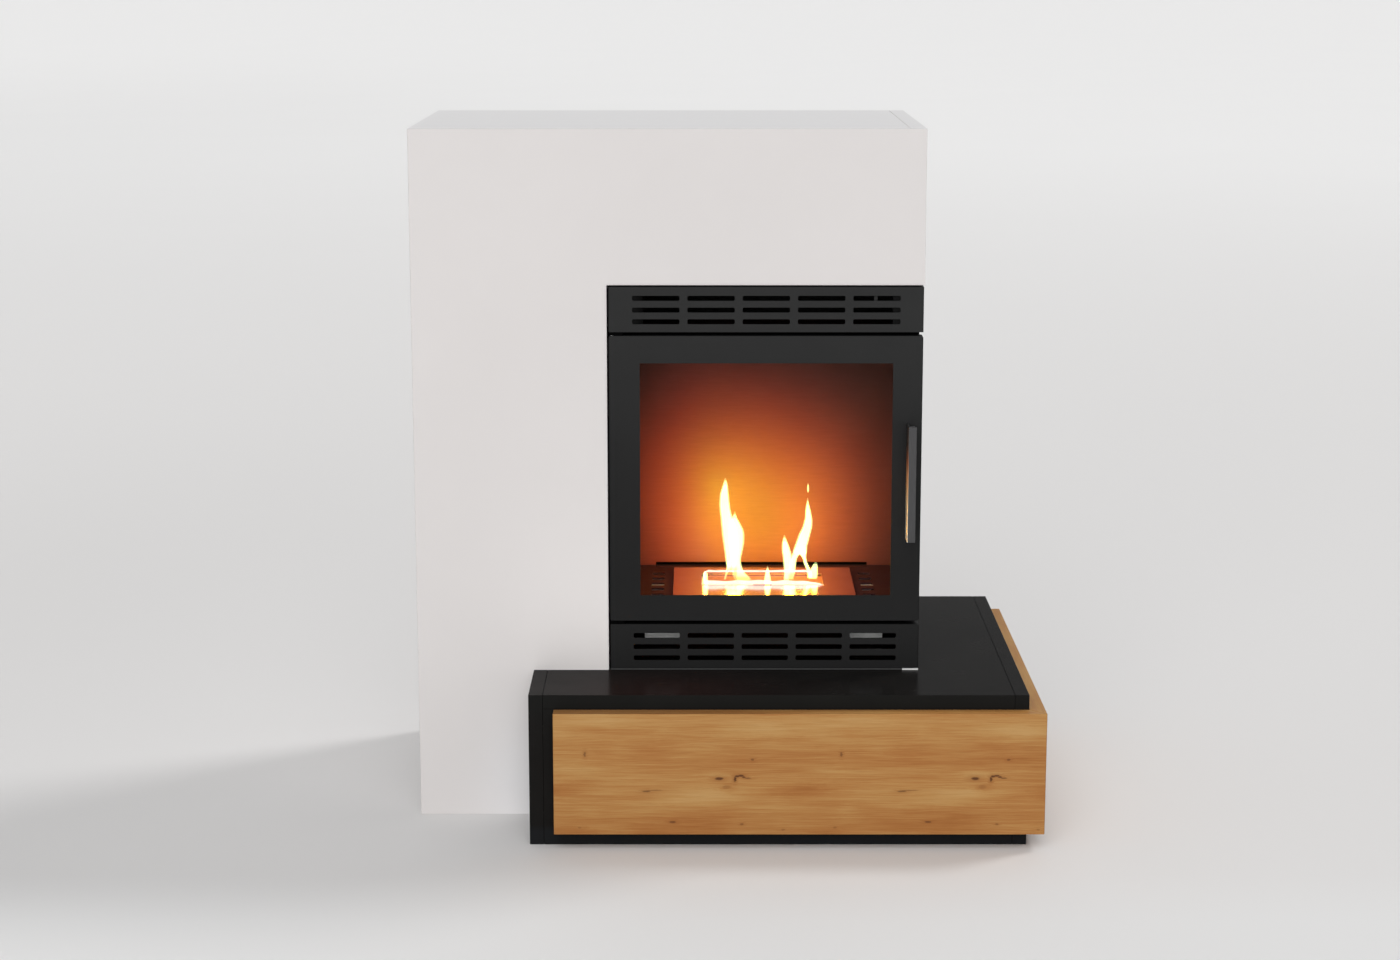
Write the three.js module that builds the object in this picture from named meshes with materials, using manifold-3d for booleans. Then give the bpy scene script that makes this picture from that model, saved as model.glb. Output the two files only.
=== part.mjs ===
// Bioethanol fireplace: white board surround, black L-shaped bench base clad
// with oak, and a black sheet-steel stove with a glazed door and an ethanol
// burner. Millimetres, +Z up, the front looks along -Y.
//
// Pieces are drawn in a working frame whose X = 0 is the surround's left side,
// Y = 0 the surround's front face and Z = 0 the floor. The group at the end
// moves them so that the origin is the middle of the bounding box's bottom.

import * as THREE from 'three';
import { mergeVertices } from 'three/addons/utils/BufferGeometryUtils.js';
import Module from 'manifold-3d';

const wasm = await Module();
wasm.setup();

// ---------------------------------------------------------------- dimensions
const GAP = 0.3;            // clearance between pieces that touch

// surround
const SUR_W = 800, SUR_D = 500, SUR_H = 1100;
const SUR_T = 25;           // board thickness
const BACK_T = 12;          // back panel thickness
const OPEN_X = 305;         // left edge of the stove opening
const OPEN_Z = 858;         // lintel underside
const LEG_Y = 400;          // front edge of the right board's rear leg

// base
const BASE_X0 = 185, BASE_X1 = 959, BASE_Y0 = -150, BASE_H = 241, BASE_T = 22;
const OAK_T = 25, OAK_X0 = 224, OAK_Z0 = 24.5, OAK_Z1 = 218;
const OAK_X1 = BASE_X1 + OAK_T, OAK_Y0 = BASE_Y0 - OAK_T;

// stove
const ST_X0 = 307.6, ST_X1 = 798.4;          // front covers
const CS_X0 = 312, CS_X1 = 794, CS_T = 2;    // casing
const ST_Y0 = -3, PLATE = 2.5;               // front face and its sheet
const FF_Y0 = 22, FF_Y1 = 24;                // face plate behind the covers
const CS_Y1 = 380;                           // casing back
const ST_Z0 = BASE_H + GAP, ST_Z1 = 856;
const GT_Z0 = 785, GT_Z1 = 856;              // top grille
const GB_Z0 = 244.9, GB_Z1 = 316.6;            // bottom grille
const DR_Z0 = 322.6, DR_Z1 = 779;            // door
const GL_X0 = 356, GL_X1 = 752, GL_Z0 = 364, GL_Z1 = 736;   // glass opening

// grille slots: 5 columns x 3 rows
const SLOT_X0 = 344.7, SLOT_W = 73.6, SLOT_PX = 86, SLOT_H = 7.8, SLOT_PZ = 18.35;
const SLOT_TOP_Z = 834.2, SLOT_BOT_Z = 294.2;  // lower edge of each grille's first row

// firebox
const FB_X0 = 320, FB_X1 = 786, FB_Y0 = 24.6, FB_Y1 = 320, FB_Z0 = 340, FB_Z1 = 770;
const FB_T = 2;

// burner
const BP_X0 = 406.5, BP_X1 = 702.5, BP_Y0 = 44, BP_Y1 = 268, BP_Z1 = 347;
const MO_X0 = 453, MO_X1 = 653, MO_Y0 = 138, MO_Y1 = 222;   // burner mouth
const LID_L = 88;             // lid size along its travel; it travels 80.5

// door hinge axis and handle
const HX = 312.8, HY = 2.4, PIN_R = 2.4, BORE_R = 2.5;
const HD_X0 = 774.5, HD_X1 = 787.3, HD_Y0 = -43, HD_Z0 = 458, HD_Z1 = 641.5, HD_T = 2.5;

// ------------------------------------------------------------------- helpers
const toM = (g) => {
  g = g.clone();
  g.deleteAttribute('normal');
  g.deleteAttribute('uv');
  g = mergeVertices(g, 1e-4);
  return new wasm.Manifold(new wasm.Mesh({
    numProp: 3,
    vertProperties: new Float32Array(g.attributes.position.array),
    triVerts: new Uint32Array(g.index.array),
  }));
};
const fromM = (m) => {
  const me = m.getMesh();
  const g = new THREE.BufferGeometry();
  g.setAttribute('position', new THREE.BufferAttribute(new Float32Array(me.vertProperties), 3));
  g.setIndex(new THREE.BufferAttribute(new Uint32Array(me.triVerts), 1));
  const flat = g.toNonIndexed();
  flat.computeVertexNormals();
  return flat;
};
const cut = (a, ...tools) => fromM(tools.reduce((s, t) => s.subtract(toM(t)), toM(a)));
const join = (a, ...others) => fromM(others.reduce((s, t) => s.add(toM(t)), toM(a)));

const box = (x0, x1, y0, y1, z0, z1) =>
  new THREE.BoxGeometry(x1 - x0, y1 - y0, z1 - z0)
    .translate((x0 + x1) / 2, (y0 + y1) / 2, (z0 + z1) / 2);

// Outline with holes, extruded along one axis from a0 to a1. The outline is
// given as (x, z) for axis y, (y, z) for axis x and (x, y) for axis z.
const prism = (axis, outline, a0, a1, holes = []) => {
  if (holes.length) return cut(prism(axis, outline, a0, a1), ...holes.map((h) => prism(axis, h, a0 - 1, a1 + 1)));
  const shape = new THREE.Shape(outline.map((p) => new THREE.Vector2(...p)));
  const g = new THREE.ExtrudeGeometry(shape, { depth: a1 - a0, bevelEnabled: false, curveSegments: 8 });
  const m = new THREE.Matrix4();
  if (axis === 'y') m.set(1, 0, 0, 0, 0, 0, -1, a1, 0, 1, 0, 0, 0, 0, 0, 1);
  else if (axis === 'x') m.set(0, 0, 1, a0, 1, 0, 0, 0, 0, 1, 0, 0, 0, 0, 0, 1);
  else m.set(1, 0, 0, 0, 0, 1, 0, 0, 0, 0, 1, a0, 0, 0, 0, 1);
  return g.applyMatrix4(m);
};
const rect = (x0, x1, z0, z1) => [[x0, z0], [x1, z0], [x1, z1], [x0, z1]];
const round = (x0, x1, z0, z1, r, n = 3) => {
  const pts = [];
  const corner = (cx, cz, a) => {
    for (let i = 0; i <= n; i++) {
      const t = a + (i / n) * Math.PI / 2;
      pts.push([cx + r * Math.cos(t), cz + r * Math.sin(t)]);
    }
  };
  corner(x1 - r, z0 + r, -Math.PI / 2);
  corner(x1 - r, z1 - r, 0);
  corner(x0 + r, z1 - r, Math.PI / 2);
  corner(x0 + r, z0 + r, Math.PI);
  return pts;
};
// Flat ring between an outer and an inner rectangle, extruded along Y.
const ringY = (o, i, y0, y1) => prism('y', rect(...o), y0, y1, [rect(...i)]);
// Cylinder along Z or Y.
const rod = (r, z0, z1, x, y, n = 24) =>
  new THREE.CylinderGeometry(r, r, z1 - z0, n).rotateX(Math.PI / 2).translate(x, y, (z0 + z1) / 2);
const rodY = (r, y0, y1, x, z, n = 20) =>
  new THREE.CylinderGeometry(r, r, y1 - y0, n).translate(x, (y0 + y1) / 2, z);

// -------------------------------------------------------------------- finish
const mat = (color, roughness, metalness = 0, extra = {}) =>
  new THREE.MeshStandardMaterial({ color, roughness, metalness, ...extra });
const WHITE = () => mat(0xdbd7d3, 0.72);
const BLACK_BOARD = () => mat(0x242220, 0.55);
const OAK = () => mat(0xb0834d, 0.5);
const STEEL = () => mat(0x2f2f30, 0.6, 0.3);
const LINER = () => mat(0x6b4a3c, 0.55, 0.4);
const ZINC = () => mat(0xb9bbbd, 0.4, 0.9);
const POLISHED = () => mat(0xb98a72, 0.22, 1.0);
const BRUSHED = () => mat(0x55565a, 0.35, 0.9);

const parts = new THREE.Group();
const add = (name, geometry, material) => {
  const mesh = new THREE.Mesh(geometry, material);
  mesh.name = name;
  parts.add(mesh);
};

// ------------------------------------------------------------------ surround
// The front, left and top boards meet in mitres along the box's edges, so that
// no seam shows on the faces. M is the half clearance of a mitre.
const M = 0.22, B = SUR_T;
const mitreTopFront = prism('x', [[-M * 1 - 1, SUR_H + 1], [B + 1, SUR_H - B - 1 - M], [B + 1, SUR_H + 1]], -1, SUR_W + 1);
const mitreFrontLeftOfFront = prism('z', [[-1, -1 - M], [B + 1 + M, B + 1], [-1, B + 1]], -1, SUR_H + 1);
add('surround_front', cut(
  prism('y', [[0, 0], [OPEN_X, 0], [OPEN_X, OPEN_Z], [SUR_W, OPEN_Z], [SUR_W, SUR_H], [0, SUR_H]], 0, B),
  mitreTopFront, mitreFrontLeftOfFront), WHITE());

const mitreFrontLeftOfLeft = prism('z', [[-1 - M, -1], [B + 1, -1], [B + 1, B + 1 + M]], -1, SUR_H + 1);
const mitreTopLeftOfLeft = prism('y', [[-1 - M, SUR_H + 1], [B + 1, SUR_H - B - 1 - M], [B + 1, SUR_H + 1]], -1, SUR_D + 1);
add('surround_left', cut(box(0, B, 0, SUR_D, 0, SUR_H), mitreFrontLeftOfLeft, mitreTopLeftOfLeft), WHITE());

const mitreTopFrontOfTop = prism('x', [[-1, SUR_H - B - 1], [B + 1 + M, SUR_H - B - 1], [-1, SUR_H + 1 + M]], -1, SUR_W + 1);
const mitreTopLeftOfTop = prism('y', [[-1, SUR_H - B - 1], [B + 1 + M, SUR_H - B - 1], [-1, SUR_H + 1 + M]], -1, SUR_D + 1);
add('surround_top', cut(
  box(0, SUR_W - B - GAP, 0, SUR_D, SUR_H - B, SUR_H), mitreTopFrontOfTop, mitreTopLeftOfTop), WHITE());

// The right board closes the lintel's end. Its leg runs down behind the stove.
add('surround_right', prism('x', [
  [B + GAP, OPEN_Z], [LEG_Y, OPEN_Z], [LEG_Y, BASE_H + GAP], [SUR_D, BASE_H + GAP],
  [SUR_D, SUR_H], [2 * M, SUR_H], [B + GAP, SUR_H - B - GAP + 2 * M],
], SUR_W - B, SUR_W), WHITE());

add('surround_cheek', box(OPEN_X - B, OPEN_X, B + GAP, SUR_D - BACK_T - GAP, 0, SUR_H - B - GAP), WHITE());
add('surround_soffit', box(OPEN_X + GAP, SUR_W - B - GAP, B + GAP, SUR_D - BACK_T - GAP, OPEN_Z, OPEN_Z + B), WHITE());
add('surround_back', prism('y', [
  [B + GAP, 0], [OPEN_X, 0], [OPEN_X, BASE_H + GAP], [SUR_W - B - GAP, BASE_H + GAP],
  [SUR_W - B - GAP, SUR_H - B - GAP], [B + GAP, SUR_H - B - GAP],
], SUR_D - BACK_T, SUR_D), WHITE());

// ---------------------------------------------------------------------- base
const T = BASE_T;
add('base_top', prism('z', [
  [BASE_X0 + T + GAP, BASE_Y0], [BASE_X1 - T - GAP, BASE_Y0], [BASE_X1 - T - GAP, SUR_D],
  [OPEN_X + GAP, SUR_D], [OPEN_X + GAP, -GAP], [BASE_X0 + T + GAP, -GAP],
], BASE_H - T, BASE_H), BLACK_BOARD());
add('base_side_left', box(BASE_X0, BASE_X0 + T, BASE_Y0, -GAP, 0, BASE_H), BLACK_BOARD());
add('base_side_right', box(BASE_X1 - T, BASE_X1, BASE_Y0, SUR_D, 0, BASE_H), BLACK_BOARD());
add('base_front', box(BASE_X0 + T + GAP, BASE_X1 - T - GAP, BASE_Y0, BASE_Y0 + T, 0, BASE_H - T - GAP), BLACK_BOARD());
add('base_back', box(OPEN_X + GAP, BASE_X1 - T - GAP, SUR_D - T, SUR_D, 0, BASE_H - T - GAP), BLACK_BOARD());
add('base_divider_left', box(OPEN_X + GAP, OPEN_X + GAP + T, BASE_Y0 + T + GAP, SUR_D - T - GAP, 0, BASE_H - T - GAP), BLACK_BOARD());
add('base_divider_mid', box(611, 611 + T, BASE_Y0 + T + GAP, SUR_D - T - GAP, 0, BASE_H - T - GAP), BLACK_BOARD());

// Oak cladding, mitred at the front right corner.
const OM = 0.22;
add('oak_front', prism('z', [
  [OAK_X0, OAK_Y0], [OAK_X1 - OM, OAK_Y0], [BASE_X1 + GAP - OM, BASE_Y0 - GAP], [OAK_X0, BASE_Y0 - GAP],
], OAK_Z0, OAK_Z1), OAK());
add('oak_side', prism('z', [
  [OAK_X1, OAK_Y0 + OM], [OAK_X1, SUR_D], [BASE_X1 + GAP, SUR_D], [BASE_X1 + GAP, BASE_Y0 - GAP + OM],
], OAK_Z0, OAK_Z1), OAK());

// ---------------------------------------------------------------- stove body
const SHIM_X0 = 773, SHIM_Y1 = 37;
add('stove_base_plate', prism('z', [
  [ST_X0, -2], [SHIM_X0 - GAP, -2], [SHIM_X0 - GAP, SHIM_Y1 + GAP], [ST_X1, SHIM_Y1 + GAP], [ST_X1, CS_Y1], [ST_X0, CS_Y1],
], ST_Z0, ST_Z0 + 3), STEEL());
add('levelling_shim', box(SHIM_X0, ST_X1, -2.6, SHIM_Y1, ST_Z0, ST_Z0 + 2.6), mat(0xe6e6e4, 0.5));

const CZ0 = ST_Z0 + 3 + GAP, CZ1 = ST_Z1 - CS_T - GAP;
add('casing_left', box(CS_X0, CS_X0 + CS_T, FF_Y1 + GAP, CS_Y1 - CS_T - GAP, CZ0, CZ1), STEEL());
add('casing_right', box(CS_X1 - CS_T, CS_X1, FF_Y1 + GAP, CS_Y1 - CS_T - GAP, CZ0, CZ1), STEEL());
add('casing_back', box(CS_X0, CS_X1, CS_Y1 - CS_T, CS_Y1, CZ0, CZ1), STEEL());
add('casing_top', box(CS_X0, CS_X1, FF_Y0, CS_Y1, ST_Z1 - CS_T, ST_Z1), STEEL());

// Face plate: door mouth in the middle, an air window behind each grille.
add('front_frame', prism('y', rect(CS_X0, CS_X1, CZ0, CZ1), FF_Y0, FF_Y1, [
  rect(342, 766, 353, 747), rect(330, 776, 792, 846), rect(330, 776, 253, 308),
]), STEEL());

// A folded cover: slotted front sheet with edges turned back to the face plate.
const slots = (z) => {
  const out = [];
  for (let c = 0; c < 5; c++) for (let r = 0; r < 3; r++) {
    const x = SLOT_X0 + c * SLOT_PX, zz = z - r * SLOT_PZ;
    out.push(round(x, x + SLOT_W, zz, zz + SLOT_H, 1.4, 1));
  }
  return out;
};
const cover = (z0, z1, zSlots, yBack) => join(
  prism('y', rect(ST_X0, ST_X1, z0, z1), ST_Y0, ST_Y0 + PLATE, slots(zSlots)),
  ringY([ST_X0, ST_X1, z0, z1], [ST_X0 + 2, ST_X1 - 2, z0 + 2, z1 - 2], ST_Y0 + 1, yBack));
add('grille_top', cover(GT_Z0, GT_Z1 - GAP, SLOT_TOP_Z, FF_Y0 - GAP), STEEL());
add('grille_bottom', cover(GB_Z0, GB_Z1, SLOT_BOT_Z, FF_Y0 - GAP), STEEL());

// Z-section clips close behind the top grille's outer columns hold it to the face plate.
const CLIP_Y0 = ST_Y0 + PLATE + 0.5, CLIP_Z0 = 793, CLIP_Z1 = 849;
add('grille_clip_left', join(
  box(328.5, 361.5, CLIP_Y0, CLIP_Y0 + 1.5, CLIP_Z0, CLIP_Z1),
  box(328.5, 330, CLIP_Y0, FF_Y0 - GAP, CLIP_Z0, CLIP_Z1),
  box(316, 330, FF_Y0 - GAP - 1.5, FF_Y0 - GAP, CLIP_Z0, CLIP_Z1)), STEEL());
add('grille_clip_right', join(
  box(750.5, 777.5, CLIP_Y0, CLIP_Y0 + 1.5, CLIP_Z0, CLIP_Z1),
  box(776, 777.5, CLIP_Y0, FF_Y0 - GAP, CLIP_Z0, CLIP_Z1),
  box(776, 790, FF_Y0 - GAP - 1.5, FF_Y0 - GAP, CLIP_Z0, CLIP_Z1),
  box(721, 752, CLIP_Y0, CLIP_Y0 + 1.5, 843.5, CLIP_Z1),
  box(721, 726.5, CLIP_Y0, CLIP_Y0 + 1.5, 831, 845)), STEEL());

// ------------------------------------------------------------------- firebox
// Galvanised brackets under the floor, one on each side of the fuel box.
const bracket = (xOut, xIn) => {
  const s = Math.sign(xIn - xOut), z0 = 281, z1 = FB_Z0 - FB_T - GAP, y0 = 26, y1 = 312;
  const tab = (ya, yb) => box(Math.min(xOut, xIn), Math.max(xOut, xIn), ya, yb, z0, z1);
  return join(box(Math.min(xIn, xIn - s * 2), Math.max(xIn, xIn - s * 2), y0, y1, z0, z1), tab(y0, y0 + 2), tab(y1 - 2, y1));
};
add('burner_bracket_left', bracket(362, 420), ZINC());
add('burner_bracket_right', bracket(742.5, 688), ZINC());

const floorHoles = [rect(MO_X0 - 5, MO_X1 + 5, MO_Y0 - 5, MO_Y1 + 5), rect(375, 735, 303, 314.5)];
for (const x of [371, 716]) for (let r = 0; r < 5; r++) {
  const y = 252.5 - r * 37.9;
  floorHoles.push(rect(x, x + 20, y - 7, y + 7));
}
add('firebox_floor', prism('z', rect(FB_X0 + FB_T + GAP, FB_X1 - FB_T - GAP, FB_Y0, FB_Y1 - FB_T - GAP),
  FB_Z0 - FB_T, FB_Z0, floorHoles), LINER());
add('firebox_left', box(FB_X0, FB_X0 + FB_T, FB_Y0, FB_Y1 - FB_T - GAP, FB_Z0 - 16, FB_Z1 - FB_T - GAP), LINER());
add('firebox_right', box(FB_X1 - FB_T, FB_X1, FB_Y0, FB_Y1 - FB_T - GAP, FB_Z0 - 16, FB_Z1 - FB_T - GAP), LINER());
// The back stands on two legs; the gap between them lets warmed air in.
add('firebox_back', cut(box(FB_X0, FB_X1, FB_Y1 - FB_T, FB_Y1, FB_Z0 - 16, FB_Z1 - FB_T - GAP),
  box(375, 735, FB_Y1 - FB_T - 1, FB_Y1 + 1, FB_Z0 - 0.5, FB_Z0 + 5.2)), LINER());
// Baffle: stops short of the face plate, so warm air rises to the top grille.
add('firebox_baffle', box(FB_X0, FB_X1, 62, FB_Y1, FB_Z1 - FB_T, FB_Z1), LINER());

// -------------------------------------------------------------------- burner
// Fuel box: hangs in the floor's cut-out by its flange.
const TR_X0 = MO_X0 - 3, TR_X1 = MO_X1 + 3, TR_Y0 = MO_Y0 - 3, TR_Y1 = MO_Y1 + 3, TR_Z0 = 290;
add('burner_tray', cut(join(
  box(TR_X0, TR_X1, TR_Y0, TR_Y1, TR_Z0, FB_Z0 + 1.5),
  box(TR_X0 - 12, TR_X1 + 12, TR_Y0 - 8, TR_Y1 + 12, FB_Z0 + GAP, FB_Z0 + 1.8)),
box(TR_X0 + 2, TR_X1 - 2, TR_Y0 + 2, TR_Y1 - 2, TR_Z0 + 2, FB_Z0 + 5)), ZINC());
add('burner_pad', box(TR_X0 + 2.5, TR_X1 - 2.5, TR_Y0 + 2.5, TR_Y1 - 2.5, TR_Z0 + 2.3, 333), mat(0xe9e2d6, 0.95));

// Sliding lid on the fuel box's flange, parked in front of the mouth, with a
// turned-up lip that a hook or tongs can push.
const LID_Y1 = MO_Y0 + 3;
const LZ0 = FB_Z0 + 1.8 + GAP, LZ1 = LZ0 + 1.5;
add('burner_lid', join(
  box(MO_X0 - 4, MO_X1 + 4, LID_Y1 - LID_L, LID_Y1, LZ0, LZ1),
  box(538, 568, LID_Y1 - 1.7, LID_Y1 - 0.2, LZ0 + 0.5, LZ1 + 5)), BRUSHED());

// Polished plate with turned-down edges.
add('burner_plate', join(
  prism('z', rect(BP_X0, BP_X1, BP_Y0, BP_Y1), BP_Z1 - 2, BP_Z1, [rect(MO_X0, MO_X1, MO_Y0, MO_Y1)]),
  prism('z', rect(BP_X0, BP_X1, BP_Y0, BP_Y1), FB_Z0 + GAP, BP_Z1 - 1, [rect(BP_X0 + 1.5, BP_X1 - 1.5, BP_Y0 + 1.5, BP_Y1 - 1.5)]),
), POLISHED());

// ---------------------------------------------------------------------- door
const DPY = ST_Y0 + PLATE;          // back of the front sheet
add('door_frame', cut(join(
  prism('y', round(ST_X0, ST_X1, DR_Z0, DR_Z1, 2.5, 2), ST_Y0, DPY, [rect(GL_X0, GL_X1, GL_Z0, GL_Z1)]),
  prism('y', round(ST_X0, ST_X1, DR_Z0, DR_Z1, 2.5, 2), ST_Y0 + 1, 16,
    [rect(ST_X0 + 2, ST_X1 - 2, DR_Z0 + 2, DR_Z1 - 2)])),
rod(2.8, DR_Z0 - 2, DR_Z0 + 4, HX, HY), rod(2.8, DR_Z1 - 4, DR_Z1 + 2, HX, HY)), STEEL());

add('door_inner_frame', ringY([319, 787, 331, 769.5], [331, 775, 339.2, 761.3], DPY + GAP, 14), STEEL());
add('door_seal', ringY([320, 786, 332, 768.5], [328, 778, 340, 760.5], 14 + GAP, FF_Y0 - 0.6), mat(0x2a2a2a, 0.95));
add('glass_gasket', ringY([344, 764, 352, 748], [354, 754, 362, 738], DPY + GAP, DPY + GAP + 1.5), mat(0x1c1c1c, 0.95));
const GY0 = DPY + 2 * GAP + 1.5, GY1 = GY0 + 4;
add('door_glass', box(343, 765, GY0, GY1, 351, 749),
  mat(0xaaaaaa, 0.05, 0, { transparent: true, opacity: 0.2 }));

// Z-section strips clamp the glass above and below; screws hold their feet.
const RT = 1.5, RY0 = DPY + GAP, RYB = GY1 + GAP;
const retainer = (zEdge, zWeb, zFoot) => {
  const u = Math.sign(zFoot - zWeb);
  return prism('x', [
    [RYB, zWeb], [RYB + RT, zWeb], [RYB + RT, zEdge + u * RT], [RY0 + RT, zEdge + u * RT],
    [RY0 + RT, zFoot], [RY0, zFoot], [RY0, zEdge], [RYB, zEdge],
  ], 362, 746);
};
add('glass_retainer_top', retainer(750, 742, 761), ZINC());
add('glass_retainer_bottom', retainer(350, 358, 339.5), ZINC());
let n = 0;
for (const [x, z] of [[400, 756.3], [708, 756.3], [400, 344], [708, 344]]) {
  n += 1;
  add(`retainer_screw_${n}`, new THREE.LatheGeometry(
    [[0, 0], [3, 0], [3, 1.2], [2.2, 2.2], [0, 2.4]].map((p) => new THREE.Vector2(...p)), 14)
    .translate(x, RY0 + RT + GAP, z), ZINC());
}

// Handle: angle profile, open to the right, with two feet on the door sheet.
const handleWeb = box(HD_X0, HD_X0 + HD_T, HD_Y0, ST_Y0 - GAP, HD_Z0, HD_Z1);
const handleLip = box(HD_X0, HD_X1, HD_Y0, HD_Y0 + HD_T, HD_Z0, HD_Z1);
const foot = (z) => box(HD_X0, HD_X1, ST_Y0 - GAP - HD_T, ST_Y0 - GAP, z - 9, z + 9);
const HS = [HD_Z0 + 14, HD_Z1 - 14], HSX = 782;
add('door_handle', join(handleWeb, handleLip, foot(HS[0]), foot(HS[1])), BRUSHED());
const HSY = ST_Y0 - 2 * GAP - HD_T;
add('handle_screw_bottom', rodY(3.2, HSY - 2.2, HSY, HSX, HS[0]), ZINC());
add('handle_screw_top', rodY(3.2, HSY - 2.2, HSY, HSX, HS[1]), ZINC());

// Hinges: fixed tabs in the gaps above and below the door carry the pins,
// which run in brass bushes inside the door's turned edges.
add('hinge_tab_top', cut(box(308.6, 330, -1.5, FF_Y0 - GAP, DR_Z1 + 0.7, GT_Z0 - 0.5),
  rod(PIN_R + 0.3, DR_Z1, GT_Z0, HX, HY)), STEEL());
add('hinge_tab_bottom', cut(box(308.6, 330, -1.5, FF_Y0 - GAP, GB_Z1 + 0.5, DR_Z0 - 0.7),
  rod(PIN_R + 0.3, GB_Z1, DR_Z0, HX, HY)), STEEL());
add('hinge_pin_top', rod(PIN_R, DR_Z1 - 14, GT_Z0 - 0.5, HX, HY), ZINC());
add('hinge_pin_bottom', rod(PIN_R, GB_Z1 + 0.5, DR_Z0 + 14, HX, HY), ZINC());
const bush = (z0, z1) => cut(box(309.9, 318.4, DPY + GAP, 8.5, z0, z1), rod(BORE_R, z0 - 1, z1 + 1, HX, HY));
add('hinge_bush_top', bush(DR_Z1 - 2 - GAP - 11, DR_Z1 - 2 - GAP), mat(0xb08d4a, 0.35, 1.0));
add('hinge_bush_bottom', bush(DR_Z0 + 2 + GAP, DR_Z0 + 2 + GAP + 11), mat(0xb08d4a, 0.35, 1.0));

// Magnetic catch between the seal and the door's turned right edge.
add('catch_magnet', box(789, 794.9, 3, FF_Y0 - GAP, 533, 567), mat(0x1b1b1c, 0.6));
add('catch_strike', box(789, 795.8, DPY + GAP, 2.6, 530, 570), ZINC());

// Origin at the middle of the bounding box's bottom face.
const object = new THREE.Group();
parts.position.set(-OAK_X1 / 2, -(OAK_Y0 + SUR_D) / 2, 0);
object.add(parts);
object.updateMatrixWorld(true);

export default object;
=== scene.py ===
"""Looks of a bioethanol fireplace: white board surround, black corner bench base with oak
cladding, black sheet-steel stove with a glazed door and a burning ethanol burner."""

import math

import bmesh
import bpy
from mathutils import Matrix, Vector, noise


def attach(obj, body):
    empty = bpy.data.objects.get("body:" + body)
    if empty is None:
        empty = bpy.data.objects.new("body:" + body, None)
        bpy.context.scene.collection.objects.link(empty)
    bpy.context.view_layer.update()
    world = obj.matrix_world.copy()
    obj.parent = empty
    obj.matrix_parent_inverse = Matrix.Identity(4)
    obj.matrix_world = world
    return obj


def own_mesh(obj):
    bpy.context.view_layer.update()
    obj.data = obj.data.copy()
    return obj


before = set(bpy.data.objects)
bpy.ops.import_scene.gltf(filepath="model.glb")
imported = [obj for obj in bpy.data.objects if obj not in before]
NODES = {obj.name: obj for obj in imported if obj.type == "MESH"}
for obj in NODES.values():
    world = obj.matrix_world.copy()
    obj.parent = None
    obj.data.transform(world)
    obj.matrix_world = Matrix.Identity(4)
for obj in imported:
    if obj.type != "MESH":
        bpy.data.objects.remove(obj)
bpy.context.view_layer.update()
scene = bpy.context.scene


def W(x, y, z):
    """A point in millimetres from the surround's left front foot, as metres in the row frame."""
    return ((x - 492.0) / 1000.0, (y - 162.5) / 1000.0, z / 1000.0)


# ---------------------------------------------------------------- materials


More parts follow.
